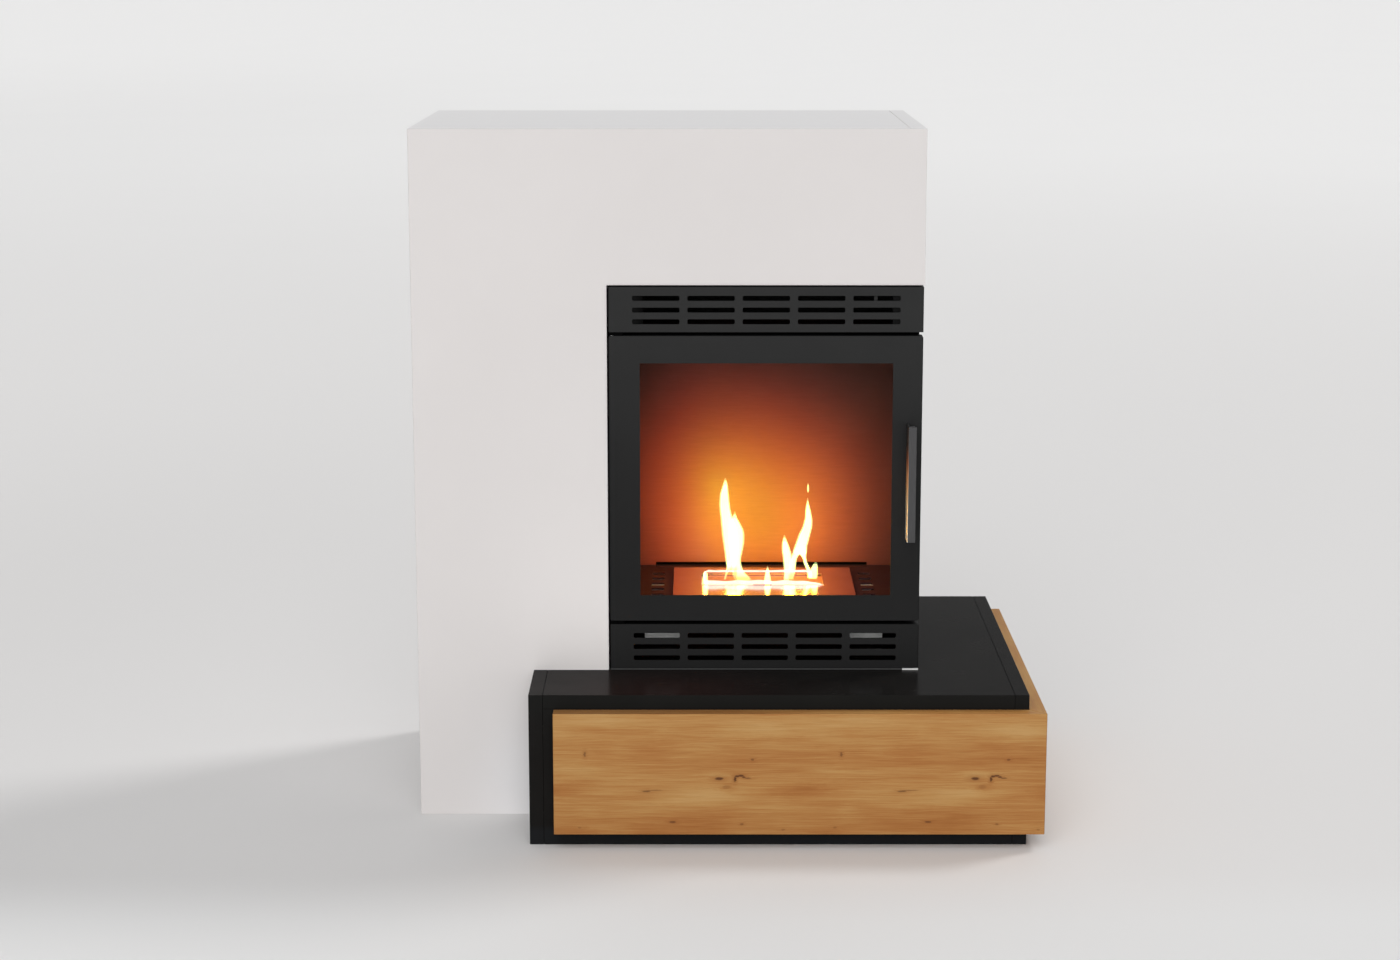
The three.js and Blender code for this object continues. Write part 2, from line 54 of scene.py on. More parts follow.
class Mat:
    """A node material built up in code."""

    def __init__(self, name):
        self.m = bpy.data.materials.new(name)
        self.m.use_nodes = True
        self.t = self.m.node_tree
        self.t.nodes.clear()
        self.out = self.t.nodes.new("ShaderNodeOutputMaterial")
        self.obj = None

    def n(self, kind, **props):
        node = self.t.nodes.new("ShaderNode" + kind)
        for k, v in props.items():
            setattr(node, k, v)
        return node

    def put(self, socket, v):
        if isinstance(v, bpy.types.NodeSocket):
            self.t.links.new(v, socket)
        elif isinstance(v, (tuple, list)) and socket.type == "RGBA" and len(v) == 3:
            socket.default_value = (*v, 1.0)
        else:
            socket.default_value = v

    def coords(self):
        if self.obj is None:
            self.obj = self.n("TexCoord").outputs["Object"]
        return self.obj

    def mapped(self, scale=(1, 1, 1), rot=(0, 0, 0), loc=(0, 0, 0), vec=None):
        node = self.n("Mapping")
        self.put(node.inputs["Vector"], vec or self.coords())
        node.inputs["Scale"].default_value = scale
        node.inputs["Rotation"].default_value = rot
        node.inputs["Location"].default_value = loc
        return node.outputs[0]

    def xyz(self, vec=None):
        node = self.n("SeparateXYZ")
        self.put(node.inputs[0], vec or self.coords())
        return node.outputs

    def combine(self, x, y, z):
        node = self.n("CombineXYZ")
        for i, v in enumerate((x, y, z)):
            self.put(node.inputs[i], v)
        return node.outputs[0]

    def noise(self, scale=5.0, detail=3.0, rough=0.5, vec=None, dist=0.0, lac=2.0):
        node = self.n("TexNoise")
        self.put(node.inputs["Vector"], vec or self.coords())
        node.inputs["Scale"].default_value = scale
        node.inputs["Detail"].default_value = detail
        node.inputs["Roughness"].default_value = rough
        node.inputs["Lacunarity"].default_value = lac
        node.inputs["Distortion"].default_value = dist
        return node.outputs[0]

    def voronoi(self, scale=5.0, vec=None, feature="F1", rand=1.0):
        node = self.n("TexVoronoi", feature=feature)
        self.put(node.inputs["Vector"], vec or self.coords())
        node.inputs["Scale"].default_value = scale
        node.inputs["Randomness"].default_value = rand
        return node.outputs

    def math(self, op, a, b=None, c=None, clamp=False):
        node = self.n("Math", operation=op, use_clamp=clamp)
        self.put(node.inputs[0], a)
        if b is not None:
            self.put(node.inputs[1], b)
        if c is not None:
            self.put(node.inputs[2], c)
        return node.outputs[0]

    def remap(self, v, a, b, c=0.0, d=1.0, smooth=False):
        node = self.n("MapRange", clamp=True)
        if smooth:
            node.interpolation_type = "SMOOTHSTEP"
        self.put(node.inputs[0], v)
        for i, x in enumerate((a, b, c, d)):
            self.put(node.inputs[i + 1], x)
        return node.outputs[0]

    def ramp(self, fac, stops, interp="LINEAR"):
        node = self.n("ValToRGB")
        cr = node.color_ramp
        cr.interpolation = interp
        while len(cr.elements) < len(stops):
            cr.elements.new(0.5)
        for e, (p, c) in zip(cr.elements, stops):
            e.position = p
            e.color = (*c, 1.0) if len(c) == 3 else c
        self.put(node.inputs[0], fac)
        return node.outputs[0]

    def mix(self, fac, a, b, blend="MIX"):
        node = self.n("Mix", data_type="RGBA", blend_type=blend)
        self.put(node.inputs[0], fac)
        self.put(node.inputs[6], a)
        self.put(node.inputs[7], b)
        return node.outputs[2]

    def bump(self, height, strength=0.3, dist=0.001, normal=None):
        node = self.n("Bump")
        node.inputs["Strength"].default_value = strength
        node.inputs["Distance"].default_value = dist
        self.put(node.inputs["Height"], height)
        if normal is not None:
            self.put(node.inputs["Normal"], normal)
        return node.outputs[0]

    def principled(self, **inputs):
        node = self.n("BsdfPrincipled")
        for k, v in inputs.items():
            self.put(node.inputs[k.replace("_", " ")], v)
        return node

    def surface(self, shader):
        self.t.links.new(
            shader if isinstance(shader, bpy.types.NodeSocket) else shader.outputs[0],
            self.out.inputs["Surface"],
        )
        return self.m


def lin(r, g, b):
    """An 8-bit display colour as scene-linear."""

    def f(c):
        c /= 255.0
        return c / 12.92 if c <= 0.04045 else ((c + 0.055) / 1.055) ** 2.4

    return (f(r), f(g), f(b))


def white_board():
    k = Mat("white_board_paint")
    cloud = k.noise(3.0, 3, 0.55)
    fine = k.noise(900.0, 2, 0.6)
    col = k.mix(k.remap(cloud, 0.35, 0.65), (0.723, 0.696, 0.688), (0.739, 0.712, 0.704))
    # painted light: paler low on the front beside the stove's foot and at the left heel, and a paler tone over the top
    # faces
    x, y, z = k.xyz()
    nx, ny, nz = k.xyz(k.n("TexCoord").outputs["Normal"])
    dx = k.math("DIVIDE", k.math("SUBTRACT", x, W(330, 0, 0)[0]), 0.165)
    dz = k.math("DIVIDE", k.math("SUBTRACT", z, 0.24), 0.22)
    low = k.math("EXPONENT", k.math("MULTIPLY", k.math("ADD", k.math("MULTIPLY", dx, dx), k.math("MULTIPLY", dz, dz)), -1.0))
    low = k.math("MULTIPLY", low, k.remap(ny, -0.9, -0.7, 1.0, 0.0))
    col = k.mix(low, col, (0.905, 0.868, 0.852))
    # painted light: a paler patch low on the front at the left heel
    hx = k.math("DIVIDE", k.math("SUBTRACT", x, W(170, 0, 0)[0]), 0.07)
    hz = k.math("DIVIDE", k.math("SUBTRACT", z, 0.04), 0.12)
    painted_heel_light = k.math("EXPONENT", k.math("MULTIPLY", k.math("ADD", k.math("MULTIPLY", hx, hx), k.math("MULTIPLY", hz, hz)), -1.0))
    painted_heel_light = k.math("MULTIPLY", painted_heel_light, k.remap(ny, -0.9, -0.7, 1.0, 0.0))
    col = k.mix(painted_heel_light, col, (0.870, 0.862, 0.872))
    # painted light: the top faces get their own paler tone
    col = k.mix(k.remap(nz, 0.7, 0.9), col, (0.788, 0.784, 0.790))
    rough = k.remap(k.noise(60.0, 3, 0.6), 0.3, 0.7, 0.48, 0.6)
    nrm = k.bump(fine, 0.12, 0.0004)
    nrm = k.bump(k.noise(9.0, 2, 0.5), 0.05, 0.002, nrm)
    p = k.principled(Base_Color=col, Roughness=rough, Normal=nrm)
    p.inputs["Specular IOR Level"].default_value = 0.25
    return k.surface(p)


TOP_XS = [(NODES["base_top"].matrix_world @ Vector(c)).x for c in NODES["base_top"].bound_box]
SEAMS = (min(TOP_XS), max(TOP_XS))


def black_board():
    k = Mat("black_board_melamine")
    cloud = k.noise(14.0, 4, 0.6)
    grain = k.noise(60.0, 5, 0.65, k.mapped((0.25, 3.0, 3.0)))
    col = k.mix(k.remap(cloud, 0.3, 0.7), (0.0105, 0.0100, 0.0096), (0.0135, 0.0127, 0.0120))
    x, y, z = k.xyz()
    nx, ny, nz = k.xyz(k.n("TexCoord").outputs["Normal"])
    up = k.remap(nz, 0.7, 0.9)
    # painted light: a paler band high on the front faces, just under the top
    band = k.math("MULTIPLY", k.remap(z, 0.19, 0.22), k.remap(ny, -0.9, -0.7, 1.0, 0.0))
    col = k.mix(k.math("MULTIPLY", band, 0.45), col, (0.0155, 0.0160, 0.0150))
    # painted light: a paler, bluer strip along the foot of the front faces
    foot = k.math("MULTIPLY", k.remap(z, 0.022, 0.032, 1.0, 0.0), k.remap(ny, -0.9, -0.7, 1.0, 0.0))
    col = k.mix(foot, col, (0.0140, 0.0149, 0.0160))
    # painted light: a reddish glow from the flames on the top in front of the stove
    dx = k.math("DIVIDE", k.math("SUBTRACT", x, W(400, 0, 0)[0]), 0.15)
    dy = k.math("DIVIDE", k.math("SUBTRACT", y, W(0, -150, 0)[1]), 0.12)
    painted_flame_glow = k.math("EXPONENT", k.math("MULTIPLY", k.math("ADD", k.math("MULTIPLY", dx, dx), k.math("MULTIPLY", dy, dy)), -1.0))
    col = k.mix(k.math("MULTIPLY", painted_flame_glow, up), col, (0.0245, 0.0140, 0.0128))
    # the seams where the top meets the two side boards
    seam = k.math("MINIMUM", k.math("ABSOLUTE", k.math("SUBTRACT", x, SEAMS[0])), k.math("ABSOLUTE", k.math("SUBTRACT", x, SEAMS[1])))
    seam = k.math("MULTIPLY", k.remap(seam, 0.0007, 0.0016, 1.0, 0.0), up)
    col = k.mix(seam, col, (0.0005, 0.0005, 0.0005))
    rough = k.math("ADD", k.remap(cloud, 0.3, 0.7, 0.2, 0.27), k.remap(grain, 0.35, 0.65, -0.02, 0.02))
    nrm = k.bump(grain, 0.05, 0.0003)
    p = k.principled(Base_Color=col, Roughness=rough, Normal=nrm)
    p.inputs["Specular IOR Level"].default_value = 0.013
    return k.surface(p)


FRONT_XS = [(NODES["door_frame"].matrix_world @ Vector(c)).x for c in NODES["door_frame"].bound_box]
FRONT_MID = (min(FRONT_XS) + max(FRONT_XS)) / 2
FRONT_HALF = (max(FRONT_XS) - min(FRONT_XS)) / 2


def black_steel():
    k = Mat("black_powder_coat")
    grit = k.noise(1400.0, 3, 0.7)
    peel = k.noise(160.0, 2, 0.5)
    cloud = k.noise(5.0, 3, 0.6)
    # painted shade: the coat is darker towards the bottom and lighter towards the top
    tone = k.ramp(
        k.remap(k.xyz()[2], 0.30, 0.85),
        [
            (0.0, (0.0052, 0.0053, 0.0054)),
            (0.1, (0.0060, 0.0061, 0.0062)),
            (0.2, (0.0070, 0.0071, 0.0072)),
            (0.45, (0.0112, 0.0114, 0.0116)),
            (0.71, (0.0168, 0.0170, 0.0172)),
            (0.92, (0.0215, 0.0218, 0.0220)),
        ],
    )
    col = k.mix(k.remap(cloud, 0.3, 0.7, 0.0, 0.16), tone, (0.002, 0.002, 0.002))
    # painted light: low on the front the coat is made a little paler
    nx, ny, nz = k.xyz(k.n("TexCoord").outputs["Normal"])
    painted_low_light = k.ramp(k.remap(k.xyz()[2], 0.30, 0.52), [(0.0, (0.0068, 0.0068, 0.0068)), (0.25, (0.0042, 0.0042, 0.0042)), (0.5, (0.0019, 0.0019, 0.0019)), (1.0, (0.0, 0.0, 0.0))])
    col = k.mix(k.remap(ny, -0.9, -0.7, 1.0, 0.0), col, painted_low_light, "ADD")
    # darker in a narrow strip at the two side edges of the front
    side = k.math("ABSOLUTE", k.math("SUBTRACT", k.xyz()[0], FRONT_MID))
    fold = k.math("MULTIPLY", k.remap(side, FRONT_HALF - 0.0016, FRONT_HALF - 0.0008), 0.85)
    col = k.mix(fold, col, (0.001, 0.001, 0.001))
    rough = k.remap(cloud, 0.3, 0.7, 0.5, 0.58)
    nrm = k.bump(grit, 0.22, 0.00025)
    nrm = k.bump(peel, 0.1, 0.0005, nrm)
    p = k.principled(Base_Color=col, Roughness=rough, Normal=nrm)
    p.inputs["Specular IOR Level"].default_value = 0.18
    return k.surface(p)


def plain_dark(name, a, b, rough=0.6, scale=300.0, gloss=0.2):
    k = Mat(name)
    v = k.noise(scale, 3, 0.6)
    p = k.principled(
        Base_Color=k.mix(k.remap(v, 0.3, 0.7), a, b),
        Roughness=k.remap(v, 0.3, 0.7, rough - 0.05, rough + 0.05),
        Normal=k.bump(v, 0.12, 0.0003),
    )
    p.inputs["Specular IOR Level"].default_value = gloss
    return k.surface(p)


def clip_steel():
    """Dull dark sheet behind the grille, darkened along most of its length by painted shade; its small finger is coated
    like the grille.
    """
    k = Mat("dark_clip_steel")
    x, y, z = k.xyz()
    v = k.noise(500.0, 3, 0.6)
    # painted shade: near black over most of its length, greyer at the left end and towards the right
    painted_shade_fade = k.remap(x, W(343, 0, 0)[0], W(362, 0, 0)[0], 1.0, 0.25, smooth=True)
    painted_shade_fade = k.math("MAXIMUM", painted_shade_fade, k.remap(x, 0.1, 0.12))
    col = k.mix(painted_shade_fade, (0.001, 0.001, 0.001), (0.0088, 0.0088, 0.0088))
    finger = k.math("MULTIPLY", k.remap(x, 0.2275, 0.2280), k.remap(x, 0.2350, 0.2355, 1.0, 0.0))
    col = k.mix(finger, col, (0.036, 0.036, 0.036))
    col = k.mix(k.remap(v, 0.3, 0.7, 0.0, 0.12), col, (0.0, 0.0, 0.0))
    p = k.principled(Base_Color=col, Roughness=0.7, Normal=k.bump(v, 0.12, 0.0003))
    p.inputs["Specular IOR Level"].default_value = 0.02
    return k.surface(p)


def edge_steel():
    """Base plate: bare grey cut edges, blackened faces."""
    k = Mat("grey_edge_steel")
    v = k.noise(300.0, 3, 0.6)
    nx, ny, nz = k.xyz(k.n("TexCoord").outputs["Normal"])
    col = k.mix(k.remap(v, 0.3, 0.7), (0.050, 0.050, 0.050), (0.065, 0.065, 0.065))
    col = k.mix(k.remap(nz, 0.85, 0.95), col, (0.0015, 0.0015, 0.0015))
    p = k.principled(Base_Color=col, Roughness=k.remap(v, 0.3, 0.7, 0.45, 0.6), Normal=k.bump(v, 0.12, 0.0003))
    p.inputs["Specular IOR Level"].default_value = 0.1
    return k.surface(p)


def floor_steel():
    """Coated floor plate of the firebox; one slot's near edge carries a painted highlight."""
    k = Mat("sooted_floor_steel")
    x, y, z = k.xyz()
    v = k.noise(40.0, 3, 0.6)
    col = k.mix(k.remap(v, 0.3, 0.7), (0.050, 0.0230, 0.028), (0.072, 0.035, 0.040))
    yw = (168.6 - 162.5) / 1000.0
    # painted highlight: a near-white line along the near edge of one slot
    painted_slot_highlight = k.math("MULTIPLY", k.remap(k.math("ABSOLUTE", k.math("SUBTRACT", y, yw)), 0.0012, 0.0020, 1.0, 0.0), k.remap(k.math("ABSOLUTE", k.math("SUBTRACT", k.math("ABSOLUTE", k.math("SUBTRACT", x, 0.0615)), 0.1725)), 0.0100, 0.0108, 1.0, 0.0))
    col = k.mix(painted_slot_highlight, col, (0.92, 0.97, 1.0))
    p = k.principled(Base_Color=col, Roughness=k.remap(v, 0.3, 0.7, 0.4, 0.5), Normal=k.bump(v, 0.12, 0.0003))
    p.inputs["Specular IOR Level"].default_value = 0.06
    return k.surface(p)


# heat tint with the glow of the flames painted into it
LINER_TINT_AND_GLOW = [
    # height, floor, centre x, z, reach left, right, above, below, sharpness, straw patch, dip
    (0.380, 0.076, -0.026, 0.486, 0.134, 0.2705, 0.192, 0.36, 1.76, 0.0, 0.29),
    (0.257, 0.0280, -0.015, 0.475, 0.073, 0.138, 0.103, 0.213, 0.61, 0.040, 0.08),
    (0.0930, 0.0135, -0.041, 0.360, 0.091, 0.239, 0.260, 3.0, 0.45, 0.009, 0.22),
]


def liner_steel():
    """Coated sheet tinted by heat, with the glow of the flames painted into the same colour: straw over the flames,
    then red, then dull grey.
    """
    k = Mat("liner_heat_tint_and_painted_glow_steel")
    x, y, z = k.xyz()
    wob = k.math("MULTIPLY_ADD", k.math("SUBTRACT", k.noise(7.0, 3, 0.55), 0.5), 0.5, 1.0)
    # least heat tint and least painted flame glow straight between the two groups of tongues
    gx = k.math("DIVIDE", k.math("SUBTRACT", x, 0.066), 0.055)
    gz = k.math("DIVIDE", k.math("SUBTRACT", z, 0.42), 0.085)
    glow_dip = k.math("EXPONENT", k.math("MULTIPLY", k.math("ADD", k.math("MULTIPLY", gx, gx), k.math("MULTIPLY", gz, gz)), -1.0))
    # a second straw-coloured patch over the right-hand tongues, heat tint with painted flame glow
    lx = k.math("DIVIDE", k.math("SUBTRACT", x, 0.125), 0.075)
    lz = k.math("DIVIDE", k.math("SUBTRACT", z, 0.425), 0.095)
    glow_lobe = k.math("EXPONENT", k.math("MULTIPLY", k.math("ADD", k.math("MULTIPLY", lx, lx), k.math("MULTIPLY", lz, lz)), -1.0))
    parts = []
    for height, base, cx, cz, left, right, above, below, sharp, straw, loss in LINER_TINT_AND_GLOW:
        dx = k.math("SUBTRACT", x, cx)
        dx = k.math("MAXIMUM", k.math("MULTIPLY", dx, 1 / right), k.math("MULTIPLY", dx, -1 / left))
        dz = k.math("SUBTRACT", z, cz)
        dz = k.math("MAXIMUM", k.math("MULTIPLY", dz, 1 / above), k.math("MULTIPLY", dz, -1 / below))
        r = k.math("ADD", k.math("MULTIPLY", dx, dx), k.math("MULTIPLY", dz, dz))
        r = k.math("MULTIPLY", k.math("POWER", k.math("MAXIMUM", r, 0.00001), sharp), wob)
        tint = k.math("MULTIPLY_ADD", k.math("EXPONENT", k.math("MULTIPLY", r, -1.0)), height, base)
        if straw:
            tint = k.math("MULTIPLY_ADD", glow_lobe, straw, tint)
        parts.append(k.math("MULTIPLY", tint, k.math("MULTIPLY_ADD", glow_dip, -loss, 1.0)))
    whole = k.n("CombineColor")
    for i, part in enumerate(parts):
        k.put(whole.inputs[i], part)
    col = whole.outputs[0]
    brush = k.noise(70.0, 4, 0.6, k.mapped((0.5, 0.5, 9.0)))
    col = k.mix(k.remap(brush, 0.35, 0.65, 0.0, 0.10), col, (0.06, 0.02, 0.014))
    rough = k.remap(brush, 0.3, 0.7, 0.42, 0.55)
    p = k.principled(Base_Color=col, Roughness=rough, Normal=k.bump(brush, 0.08, 0.0004))
    p.inputs["Specular IOR Level"].default_value = 0.15
    return k.surface(p)


def zinc_steel():
    k = Mat("zinc_coated_steel")
    cells = k.voronoi(110.0)
    tone = k.xyz(cells["Color"])[0]
    col = k.mix(tone, (0.78, 0.79, 0.78), (0.92, 0.93, 0.92))
    rough = k.remap(tone, 0.0, 1.0, 0.28, 0.45)
    p = k.principled(
        Base_Color=col,
        Metallic=0.35,
        Roughness=rough,
        Normal=k.bump(k.noise(300.0, 3, 0.6), 0.1, 0.0004),
    )
    return k.surface(p)


def polished_steel():
    k = Mat("polished_plate")
    smear = k.noise(26.0, 4, 0.6)
    brush = k.noise(160.0, 3, 0.6, k.mapped((0.25, 8.0, 8.0)))
    col = k.mix(k.remap(smear, 0.35, 0.65), (0.77, 0.66, 0.76), (0.85, 0.74, 0.85))
    rough = k.math("ADD", k.remap(smear, 0.3, 0.7, 0.14, 0.17), k.remap(brush, 0.3, 0.7, 0.0, 0.02))
    # the cut edges are dull and browned
    nx, ny, nz = k.xyz(k.n("TexCoord").outputs["Normal"])
    edge = k.remap(k.math("ABSOLUTE", nz), 0.35, 0.8, 1.0, 0.0)
    col = k.mix(edge, col, (0.40, 0.21, 0.14))
    rough = k.math("MULTIPLY_ADD", edge, 0.45, rough)
    p = k.principled(
        Base_Color=col, Metallic=k.remap(edge, 0.0, 1.0, 1.0, 0.0), Roughness=rough, Normal=k.bump(brush, 0.006, 0.0002)
    )
    return k.surface(p)


def scorched_steel():
    """The fuel box: sheet browned by the flames."""
    k = Mat("scorched_steel")
    v = k.noise(60.0, 4, 0.6)
    col = k.mix(k.remap(v, 0.3, 0.7), (0.40, 0.185, 0.135), (0.50, 0.235, 0.175))
    p = k.principled(Base_Color=col, Metallic=0.15, Roughness=k.remap(v, 0.3, 0.7, 0.45, 0.6), Normal=k.bump(v, 0.1, 0.0003))
    p.inputs["Specular IOR Level"].default_value = 0.1
    return k.surface(p)


def handle_steel():
    k = Mat("brushed_handle_steel")
    brush = k.noise(220.0, 4, 0.65, k.mapped((9.0, 9.0, 0.22)))
    col = k.mix(k.remap(brush, 0.3, 0.7), (0.056, 0.056, 0.058), (0.088, 0.088, 0.090))
    x = k.xyz()[0]
    bare = k.remap(x, 0.2830, 0.2833, 1.0, 0.0)
    # painted reflection of the flames on the bare left cheek: cream low down, then orange, then dark at the top
    glow = k.ramp(
        k.remap(k.xyz()[2], 0.458, 0.642),
        [(0.0, (1.0, 0.97, 0.86)), (0.30, (1.0, 0.84, 0.56)), (0.48, (0.92, 0.55, 0.28)), (0.68, (0.42, 0.15, 0.07)), (0.82, (0.07, 0.05, 0.04)), (1.0, (0.03, 0.03, 0.03))],
    )
    col = k.mix(bare, col, glow)
    rough = k.remap(brush, 0.3, 0.7, 0.34, 0.5)
    p = k.principled(
        Base_Color=col, Metallic=0.7, Roughness=rough, Normal=k.bump(brush, 0.12, 0.0003)
    )
    return k.surface(p)


def brass():
    k = Mat("brass")
    turn = k.noise(240.0, 3, 0.6, k.mapped((1.0, 1.0, 8.0)))
    col = k.mix(k.remap(turn, 0.3, 0.7), (0.62, 0.42, 0.16), (0.78, 0.56, 0.24))
    p = k.principled(
        Base_Color=col,
        Metallic=1.0,
        Roughness=k.remap(turn, 0.3, 0.7, 0.22, 0.36),
        Normal=k.bump(turn, 0.1, 0.0002),
    )
    return k.surface(p)


def screw_steel():
    k = Mat("black_oxide_screw")
    v = k.noise(900.0, 3, 0.6)
    col = k.mix(k.remap(v, 0.3, 0.7), (0.035, 0.035, 0.037), (0.06, 0.06, 0.063))
    p = k.principled(
        Base_Color=col,
        Metallic=0.8,
        Roughness=k.remap(v, 0.3, 0.7, 0.3, 0.42),
        Normal=k.bump(v, 0.1, 0.0002),
    )
    return k.surface(p)


def ceramic_fibre():
    k = Mat("ceramic_fibre_wool")
    fib = k.noise(420.0, 5, 0.7, k.mapped((0.5, 1.6, 1.0)))
    tuft = k.noise(90.0, 3, 0.6)
    col = k.mix(k.remap(fib, 0.3, 0.7), (0.38, 0.27, 0.21), (0.50, 0.37, 0.30))
    col = k.mix(k.remap(tuft, 0.45, 0.75, 0.0, 0.5), col, (0.24, 0.15, 0.11))
    nrm = k.bump(fib, 0.7, 0.0012)
    nrm = k.bump(tuft, 0.5, 0.002, nrm)
    p = k.principled(Base_Color=col, Roughness=0.95, Normal=nrm)
    p.inputs["Specular IOR Level"].default_value = 0.1
    return k.surface(p)


def rope_seal():
    k = Mat("black_rope_seal")
    yarn = k.noise(1500.0, 3, 0.7)
    col = k.mix(k.remap(yarn, 0.3, 0.7), (0.018, 0.018, 0.018), (0.045, 0.044, 0.042))
    p = k.principled(Base_Color=col, Roughness=0.92, Normal=k.bump(yarn, 0.5, 0.0006))
    p.inputs["Sheen Weight"].default_value = 0.2
    return k.surface(p)


def magnet():
    k = Mat("sintered_magnet")
    v = k.noise(700.0, 3, 0.6)
    col = k.mix(k.remap(v, 0.3, 0.7), (0.09, 0.09, 0.095), (0.14, 0.14, 0.145))
    p = k.principled(
        Base_Color=col, Metallic=0.6, Roughness=k.remap(v, 0.3, 0.7, 0.45, 0.6), Normal=k.bump(v, 0.2, 0.0003)
    )
    return k.surface(p)


def shim():
    k = Mat("white_shim_plastic")
    v = k.noise(200.0, 3, 0.6)
    col = k.mix(k.remap(v, 0.3, 0.7), (0.82, 0.82, 0.81), (0.88, 0.88, 0.87))
    p = k.principled(Base_Color=col, Roughness=k.remap(v, 0.3, 0.7, 0.4, 0.5), Normal=k.bump(v, 0.05, 0.0003))
    return k.surface(p)


def glass():
    k = Mat("heat_glass")
    fres = k.n("Fresnel")
    fres.inputs["IOR"].default_value = 1.12
    clear = k.n("BsdfTransparent")
    tint = k.mix(k.remap(k.noise(4.0, 2, 0.5), 0.3, 0.7), (0.965, 0.965, 0.96), (0.985, 0.98, 0.975))
    k.put(clear.inputs["Color"], tint)
    gloss = k.n("BsdfGlossy")
    gloss.inputs["Color"].default_value = (0.9, 0.9, 0.9, 1.0)
    k.put(gloss.inputs["Roughness"], k.remap(k.noise(30.0, 3, 0.6), 0.3, 0.7, 0.02, 0.05))
    both = k.n("MixShader")
    k.put(both.inputs[0], k.math("MAXIMUM", k.math("SUBTRACT", fres.outputs[0], 0.0036), 0.0))
    k.put(both.inputs[1], clear.outputs[0])
    k.put(both.inputs[2], gloss.outputs[0])
    return k.surface(both)


OAK_REPEAT = 395.0  # the veneer's pattern comes round again along the board (mm)

OAK_BANDS = [  # along the board, height, reach along and up (mm), paler (+) or browner (-)
    (299, 206, 76, 9, 0.5),
    (530, 193, 51, 12, 0.6),
    (394, 190, 15, 8, 0.25),
    (234, 190, 28, 11, 0.5),
    (568, 189, 38, 9, 0.4),
    (453, 87, 51, 12, 0.8),
    (401, 75, 51, 7, 0.4),
    (250, 126, 31, 10, 0.4),
    (479, 123, 20, 6, 0.45),
    (285, 61, 15, 13, 0.3),
    (556, 67, 46, 9, 0.35),
    (376, 161, 33, 13, -0.5),
    (299, 163, 20, 10, -0.3),
    (250, 99, 36, 12, -0.5),
    (600, 96, 36, 10, -0.75),
    (491, 99, 15, 6, -0.6),
    (453, 41, 41, 13, -0.7),
    (375, 35, 38, 8, -0.4),
    (249, 29, 31, 5, -0.5),
    (512, 163, 25, 9, -0.3),
]

OAK_MARKS = [  # knots and flecks: the same, with a depth of tone
    (480, 114.8, 7.0, 2.8, 1.0),
    (504.3, 113.8, 2.5, 4.4, 1.0),
    (507.5, 118.5, 4.2, 2.0, 1.0),
    (513, 119.4, 5.2, 1.8, 1.0),
    (518, 117.2, 3.4, 1.7, 0.95),
    (524, 115.4, 6.0, 1.2, 0.7),
    (273, 153.8, 2.2, 4.6, 0.6),
    (531, 145.2, 3.0, 2.2, 0.6),
    (367, 94.3, 7.5, 1.7, 0.7),
    (380, 95.9, 14.0, 1.0, 0.45),
    (408, 44.8, 6.0, 2.0, 0.75),
    (515, 41.3, 3.4, 1.9, 0.5),
    (579, 32.4, 3.2, 1.7, 0.4),
    (491, 101.3, 7.0, 3.2, 0.25),
    (264, 35.9, 3.2, 1.8, 0.35),
]


